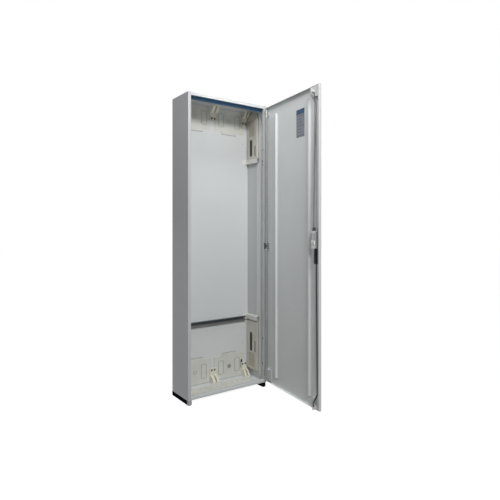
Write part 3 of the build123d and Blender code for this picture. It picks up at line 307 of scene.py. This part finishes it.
def flat_piece(name, place, axes, size, thickness, look, body, corner=0.001, line=None):
    """Thin plate with round corners, or only its rim of a given line width; axes are across and out."""
    across, out = axes
    width, height = size
    smallest_corner = 0.0003
    outlines = [rounded_outline(width, height, corner)]
    if line is not None:
        inner_corner = max(corner - line, smallest_corner)
        outlines.append(rounded_outline(width - 2 * line, height - 2 * line, inner_corner))
    mesh = bmesh.new()

    def ring_of(outline, level):
        return [mesh.verts.new(place + across * u + upwards * v + out * level) for u, v in outline]

    rings = [[ring_of(outline, level) for level in (0, thickness)] for outline in outlines]
    count = len(outlines[0])
    for low_ring, high_ring in rings:
        for index in range(count):
            after = (index + 1) % count
            mesh.faces.new((low_ring[index], low_ring[after], high_ring[after], high_ring[index]))
    for level in (0, 1):
        if line is None:
            mesh.faces.new(rings[0][level])
            continue
        outer, inner = rings[0][level], rings[1][level]
        for index in range(count):
            after = (index + 1) % count
            mesh.faces.new((outer[index], outer[after], inner[after], inner[index]))
    finish_mesh(name, mesh, look, body)


def door_plate(name, s_range, z_range, m_range, look, corner):
    """Thin plate with round corners on the inside of the door."""
    place = on_door(sum(s_range) / 2, sum(z_range) / 2, m_range[0])
    size = (s_range[1] - s_range[0], z_range[1] - z_range[0])
    axes = (door_leaf, door_inward)
    flat_piece(name, place, axes, size, m_range[1] - m_range[0], look, "door", corner)


def side_plate(name, x, y_range, z_range, thickness, look, corner):
    """Thin plate with round corners that stands along a side wall and grows towards the middle."""
    place = Vector((x, sum(y_range) / 2, sum(z_range) / 2))
    size = (y_range[1] - y_range[0], z_range[1] - z_range[0])
    axes = (to_back, eastwards * math.copysign(1, -x))
    flat_piece(name, place, axes, size, thickness, look, "cabinet", corner)


def turned(name, place, axis, profile, look, sides=20):
    """Round piece of the cabinet turned about an axis; the profile lists (radius, height) from its foot."""
    across = axis.orthogonal().normalized()
    beside = axis.cross(across)
    mesh = bmesh.new()
    rings = []
    for radius, height in profile:
        ring = []
        for index in range(sides):
            turn = 2 * math.pi * index / sides
            point = place + axis * height + (across * math.cos(turn) + beside * math.sin(turn)) * radius
            ring.append(mesh.verts.new(point))
        rings.append(ring)
    for ring, following in zip(rings, rings[1:]):
        for index in range(sides):
            after = (index + 1) % sides
            mesh.faces.new((ring[index], ring[after], following[after], following[index]))
    mesh.faces.new(rings[0])
    mesh.faces.new(rings[-1])
    finish_mesh(name, mesh, look, "cabinet")


# Bare plate on the door: header, plain field and thin rules
plate_s = (0.340, 0.422)
plate_z = (1.603, 1.769)
plate_thickness = 0.0006
print_thickness = 0.0002
header_height = 0.030
header_margin = 0.0005
rule_count = 7
rule_height = 0.0035
rule_margin = 0.006
rule_shortening = 0.012
rule_start = 0.4
plate_face = door_skin + plate_thickness
print_m = (plate_face, plate_face + print_thickness)
sheet_look = moulding("data_sheet_look", (0.30, 0.31, 0.35), 0.35)
header_look = moulding("data_header_look", (0.055, 0.13, 0.23), 0.35)
rule_look = moulding("data_rule_look", (0.14, 0.15, 0.20), 0.4)
door_plate("data_sheet", plate_s, plate_z, (door_skin, plate_face), sheet_look, 0.002)
header_s = (plate_s[0] + header_margin, plate_s[1] - header_margin)
header_z = (plate_z[1] - header_height, plate_z[1] - header_margin)
door_plate("data_header", header_s, header_z, print_m, header_look, 0.001)
rule_pitch = (header_z[0] - plate_z[0]) / rule_count
for index in range(rule_count):
    rule_z = plate_z[0] + rule_pitch * (index + rule_start)
    rule_s = (plate_s[0] + rule_margin, plate_s[1] - rule_margin - rule_shortening * (index % 3))
    rule_range = (rule_z, rule_z + rule_height)
    door_plate(f"data_rule_{index}", rule_s, rule_range, print_m, rule_look, 0.001)

# Dark outlines in the grooves of the knock-outs on the rear entry plates, and dark strips at the plates'
# tongues: painted shade of the grooves and of the gaps at the tongues
wall_front = 0.1035
entry_plate_thickness = 0.003
entry_plate_front = wall_front - entry_plate_thickness
knockout_depth = 0.0018
knockout_floor = entry_plate_front + knockout_depth
groove_shade_thickness = 0.0006
groove_shade_line = 0.0016
field_centre = 0.133
knockout_offset = 0.066
knockout_slot_offset = 0.103
tongue_shade_size = (0.118, 0.0024)
tongue_shade_thickness = 0.0012
tongue_shade_gap = 0.0014
# Each level: height of the plates' centre, height of the edge with the tongue, and the way past that edge
plate_levels = {"top": (1.7965, 1.7035, -1), "bottom": (0.1135, 0.2065, 1)}
wall_axes = (eastwards, to_front)
joint_look = moulding("joint_look", (0.22, 0.22, 0.20), 0.6)
seal_look = moulding("seal_look", (0.055, 0.055, 0.05), 0.6)
grommet_look = moulding("grommet_look", (0.30, 0.30, 0.28), 0.6)
for level_name, (centre_z, edge_z, past_edge) in plate_levels.items():
    for side_name, side in both_sides:
        centre_x = side * field_centre
        # Each mark: name, centre x, width, height and corner
        marks = (
            ("inner", centre_x - knockout_offset, 0.0405, 0.0925, 0.008),
            ("outer", centre_x + knockout_offset, 0.0405, 0.0925, 0.008),
            ("round", centre_x, 0.0255, 0.0255, 0.0127),
            ("slot", centre_x + side * knockout_slot_offset, 0.0115, 0.0575, 0.0057),
        )
        for mark_name, mark_x, width, height, corner in marks:
            flat_piece(
                f"knockout_joint_{mark_name}_{level_name}_{side_name}",
                Vector((mark_x, knockout_floor, centre_z)),
                wall_axes,
                (width, height),
                groove_shade_thickness,
                joint_look,
                "cabinet",
                corner,
                groove_shade_line,
            )
        flat_piece(
            f"tongue_gap_shade_{level_name}_{side_name}",
            Vector((centre_x, wall_front, edge_z + past_edge * tongue_shade_gap)),
            wall_axes,
            tongue_shade_size,
            tongue_shade_thickness,
            joint_look,
            "cabinet",
            0.0008,
        )

# Seal and grommet in the knock-outs of the lower right plate
lower_plate_z = plate_levels["bottom"][0]
seal_size = (0.015, 0.062)
seal_thickness = 0.0015
grommet_profile = ((0.0142, 0.0), (0.0142, 0.0012), (0.0120, 0.0028), (0.0085, 0.0030), (0.0070, 0.0012))
flat_piece(
    "entry_seal",
    Vector((field_centre + knockout_slot_offset, entry_plate_front, lower_plate_z)),
    wall_axes,
    seal_size,
    seal_thickness,
    seal_look,
    "cabinet",
    0.0074,
)
grommet_place = Vector((field_centre, entry_plate_front, lower_plate_z))
turned("entry_grommet", grommet_place, to_front, grommet_profile, grommet_look)

# Dark sheets behind the slots and recesses of the side covers, painted shade of their depth: name, centre
# y, centre z, width, height and look
cover_shade_x = 0.2835
cover_shade_thickness = 0.0008
liner_look = moulding("liner_look", (0.055, 0.05, 0.042), 0.7)
recess_look = moulding("recess_look", (0.50, 0.47, 0.40), 0.7)
cover_shades = (
    ("slot_upper", 0.050, 1.620, 0.034, 0.126, liner_look),
    ("slit_upper", 0.004, 1.596, 0.016, 0.078, liner_look),
    ("recess_upper", 0.045, 1.755, 0.074, 0.114, recess_look),
    ("slot_lower", 0.050, 0.2725, 0.034, 0.141, liner_look),
    ("slit_lower", 0.004, 0.2455, 0.016, 0.087, liner_look),
    ("recess_lower", 0.045, 0.146, 0.074, 0.104, recess_look),
)
for side_name, side in both_sides:
    for shade_name, y, z, width, height, look in cover_shades:
        flat_piece(
            f"cover_shade_{shade_name}_{side_name}",
            Vector((side * cover_shade_x, y, z)),
            (to_back, eastwards * side),
            (width, height),
            cover_shade_thickness,
            look,
            "cabinet",
            0.006,
        )

# Rubber plugs in the holes of the rim lips
lip_x = 0.275
lip_y = -0.0935
lip_hole_heights = (0.156, 0.324, 1.489, 1.512, 1.587)
lip_plug_profile = ((0.0036, -0.0014), (0.0037, 0.0), (0.0052, 0.0), (0.0050, 0.0008), (0.0030, 0.0012))
for side_name, side in both_sides:
    for index, z in enumerate(lip_hole_heights):
        name = f"lip_plug_{index}_{side_name}"
        place = Vector((side * lip_x, lip_y, z))
        turned(name, place, eastwards * -side, lip_plug_profile, seal_look, 16)

# Dark sheets in the windows of the lock's cover: painted shade of the windows' depth
lock_s = 0.540
window_reach = 0.0105
lock_shade_half = 0.0033
lock_shade_z = (0.9935, 1.0345)
lock_shade_m = (0.0195, 0.0203)
lock_shade_look = moulding("dust_cover_look", (0.02, 0.02, 0.022), 0.6)
for side_name, side in (("hinge_side", -1), ("free_side", 1)):
    window_s = lock_s + side * window_reach
    lock_shade_s = (window_s - lock_shade_half, window_s + lock_shade_half)
    name = f"lock_window_shade_{side_name}"
    door_plate(name, lock_shade_s, lock_shade_z, lock_shade_m, lock_shade_look, 0.002)

# Darker strips over the rim lips: painted shade on the lips
lip_shade_y = (-0.105, -0.0855)
lip_shade_z = (0.056, 1.854)
lip_shade_thickness = 0.0005
edging_look = moulding("edging_look", shade(paint, 0.76), 0.5)
for side_name, side in both_sides:
    name = f"rim_lip_shade_{side_name}"
    side_plate(name, side * lip_x, lip_shade_y, lip_shade_z, lip_shade_thickness, edging_look, 0.003)

# Dark strips beside the hinges, on the lip of the door's fold and inside the fold: painted shade of the gap
# between the rim and the door
hinge_heights = (0.096, 0.943, 1.824)
hinge_reach = 0.027
lip_gap_shade_s = (-0.0045, 0.0065)
lip_gap_shade_m = (0.008, 0.009)
fold_gap_shade_s = 0.0072
fold_gap_shade_width = 0.0128
fold_gap_shade_thickness = 0.0008
door_seal_look = moulding("door_seal_look", (0.30, 0.31, 0.31), 0.7)
for index, (low_hinge, high_hinge) in enumerate(zip(hinge_heights, hinge_heights[1:])):
    gap_shade_z = (low_hinge + hinge_reach, high_hinge - hinge_reach)
    name = f"door_seal_{index}"
    door_plate(name, lip_gap_shade_s, gap_shade_z, lip_gap_shade_m, door_seal_look, 0.001)
    flat_piece(
        f"fold_gap_shade_{index}",
        on_door(fold_gap_shade_s, sum(gap_shade_z) / 2, 0.0),
        (door_inward, door_leaf),
        (fold_gap_shade_width, gap_shade_z[1] - gap_shade_z[0]),
        fold_gap_shade_thickness,
        door_seal_look,
        "door",
        0.001,
    )

# Darker strip along the lip of the floor's front rim: painted shade of the gap behind the lip
floor_lip_y = -0.0845
floor_lip_z = 0.0498
floor_lip_shade_length = 0.548
floor_lip_shade_depth = 0.012
floor_lip_shade_thickness = 0.001
flat_piece(
    "floor_lip_edging",
    Vector((0, floor_lip_y, floor_lip_z)),
    (eastwards, to_front),
    (floor_lip_shade_length, floor_lip_shade_thickness),
    floor_lip_shade_depth,
    edging_look,
    "cabinet",
    0.0004,
)

# Sheets in the lighter strut paint on the side walls along the struts, between the rail brackets: painted
# light
strut_light_x = 0.2925
strut_light_y = (-0.034, -0.005)
strut_light_z = (0.462, 1.507)
strut_light_thickness = 0.0005
strut_light_look = slot_looks["strut_paint"]
for side_name, side in both_sides:
    side_plate(
        f"strut_light_{side_name}",
        side * strut_light_x,
        strut_light_y,
        strut_light_z,
        strut_light_thickness,
        strut_light_look,
        0.002,
    )

# Dark strips between the ribs of the bottom hinge's cover: painted shade of the grooves
rib_count = 6
rib_slant = math.radians(14)
ribbed_height = 0.074
ribbed_s = 0.0355
ribbed_z = 0.093
ribbed_depth = 0.0077
groove_length = 0.040
groove_share = 0.4
groove_thickness = 0.0006
rib_pitch = ribbed_height / rib_count
groove_size = (groove_length, rib_pitch * groove_share)
rib_across = door_leaf * math.cos(rib_slant) - upwards * math.sin(rib_slant)
rib_shade_look = moulding("rib_groove_look", (0.16, 0.16, 0.15), 0.7)
for index in range(rib_count):
    groove_z = ribbed_z + (index - (rib_count - 1) / 2) * rib_pitch
    flat_piece(
        f"rib_groove_{index}",
        on_door(ribbed_s, groove_z, door_skin + ribbed_depth),
        (rib_across, door_inward),
        groove_size,
        groove_thickness,
        rib_shade_look,
        "door",
        0.001,
    )

# Sealing plugs in the wall-fixing holes
mounts = {mount["name"]: mount for mount in frame["record"]["mounts"]}
wall_fixing = mounts["wall_fixing"]
reach_x = wall_fixing["dims"]["spacing_x_mm"] / 2 / 1000
reach_z = wall_fixing["dims"]["spacing_y_mm"] / 2 / 1000
plug_look = moulding("plug_look", shade(paint, 0.9), 0.45)
plug_profile = (
    (0.0046, -0.0014),
    (0.0047, 0.0),
    (0.0072, 0.0),
    (0.0070, 0.0007),
    (0.0055, 0.0012),
    (0.001, 0.0014),
)
for side_name, side in both_sides:
    for level_name, level in (("lower", -1), ("upper", 1)):
        name = f"wall_plug_{level_name}_{side_name}"
        place = Vector((side * reach_x, wall_front, wall_fixing["pos_m"][2] + level * reach_z))
        turned(name, place, to_front, plug_profile, plug_look)

# Screws in the holders of the fittings' frame
holder_web_front = 0.0915
holder_hole_offset = 0.011
screw_look = zinc("holder_screw_look", (0.10, 0.10, 0.10), 0.35)
screw_profile = (
    (0.0040, -0.006),
    (0.0040, 0.0),
    (0.0066, 0.0),
    (0.0066, 0.0006),
    (0.0056, 0.0007),
    (0.0052, 0.0022),
    (0.0038, 0.0031),
    (0.0022, 0.0032),
    (0.0018, 0.0018),
)
for holder_name in sorted(name for name in frame["nodes"] if name.startswith("frame_holder_")):
    corners = [Vector(corner) for corner in frame["nodes"][holder_name].bound_box]
    centre_x = sum(corner.x for corner in corners) / len(corners)
    heights = [corner.z for corner in corners]
    if "_top_" in holder_name:
        hole_z = min(heights) + holder_hole_offset
    else:
        hole_z = max(heights) - holder_hole_offset
    for side_name, side in both_sides:
        name = holder_name.replace("frame_holder", "holder_screw") + f"_{side_name}"
        place = Vector((centre_x + side * holder_hole_offset, holder_web_front, hole_z))
        turned(name, place, to_front, screw_profile, screw_look)


# Floor, light and camera


def white_floor():
    """Large pale floor that keeps the shadow and meets the white background."""
    bpy.ops.mesh.primitive_plane_add(size=40.0, location=(0, 0, 0))
    floor = bpy.context.object
    floor.name = "floor"
    look = Look("floor_look")
    look.shader.inputs["Base Color"].default_value = (0.14, 0.14, 0.14, 1)
    look.shader.inputs["Roughness"].default_value = 0.9
    look.gloss(0.1)
    path = look.node("ShaderNodeLightPath")
    seen = look.node("ShaderNodeMath", operation="MAXIMUM")
    look.link(path.outputs["Is Camera Ray"], seen.inputs[0])
    look.link(path.outputs["Is Glossy Ray"], seen.inputs[1])
    glow = look.node("ShaderNodeEmission")
    glow.inputs["Color"].default_value = (1, 1, 1, 1)
    look.link(look.spread(seen.outputs[0], 0.0, 0.96), glow.inputs["Strength"])
    added = look.node("ShaderNodeAddShader")
    look.link(look.shader.outputs[0], added.inputs[0])
    look.link(glow.outputs[0], added.inputs[1])
    look.link(added.outputs[0], look.tree.nodes["Material Output"].inputs["Surface"])
    floor.data.materials.append(look.material)


def soft_world(level):
    """Even grey surroundings that the camera sees as white."""
    world = bpy.data.worlds.new("studio")
    scene.world = world
    world.use_nodes = True
    tree = world.node_tree
    background = tree.nodes["Background"]
    path = tree.nodes.new("ShaderNodeLightPath")
    seen = tree.nodes.new("ShaderNodeMath")
    seen.operation = "MAXIMUM"
    tree.links.new(path.outputs["Is Camera Ray"], seen.inputs[0])
    tree.links.new(path.outputs["Is Transmission Ray"], seen.inputs[1])
    strength = tree.nodes.new("ShaderNodeMapRange")
    strength.inputs["To Min"].default_value = level
    strength.inputs["To Max"].default_value = 1.0
    tree.links.new(seen.outputs[0], strength.inputs["Value"])
    tree.links.new(strength.outputs["Result"], background.inputs["Strength"])
    background.inputs["Color"].default_value = (1, 1, 1, 1)


def soft_box(name, place, target, size, power, spread=180.0):
    """Rectangular studio lamp that looks at a target; its power is in watts and its spread in degrees."""
    data = bpy.data.lights.new(name, "AREA")
    data.shape = "RECTANGLE"
    data.size, data.size_y = size
    data.energy = power
    data.spread = math.radians(spread)
    lamp = bpy.data.objects.new(name, data)
    lamp.location = place
    lamp.rotation_mode = "QUATERNION"
    lamp.rotation_quaternion = (Vector(target) - Vector(place)).to_track_quat("-Z", "Y")
    scene.collection.objects.link(lamp)


def photo_camera():
    """Level camera at the photographer's place."""
    data = bpy.data.cameras.new("camera")
    data.lens = camera_lens
    data.sensor_width = camera_sensor
    data.shift_x = camera_shift_x
    data.shift_y = camera_shift_y
    camera = bpy.data.objects.new("camera", data)
    camera.location = camera_place
    camera.rotation_euler = (math.radians(90), 0, math.radians(-camera_yaw))
    scene.collection.objects.link(camera)
    scene.camera = camera


white_floor()
soft_world(0.22)
soft_box("front_lamp", (-0.8, -3.3, 3.2), (0.1, -0.1, 0.9), (1.6, 0.8), 96.0)
soft_box("left_lamp", (-2.2, 0.4, 2.9), (-0.2, -0.3, 1.3), (0.6, 0.6), 8.5)
soft_box("door_lamp", (-0.25, -0.6, 2.75), (0.25, -0.45, 0.9), (0.15, 0.6), 8.0)
soft_box("roof_lamp", (-0.45, -1.6, 0.9), (0.05, 0.1, 1.93), (0.2, 0.2), 0.12, spread=22.0)
photo_camera()
scene.view_settings.view_transform = "Standard"
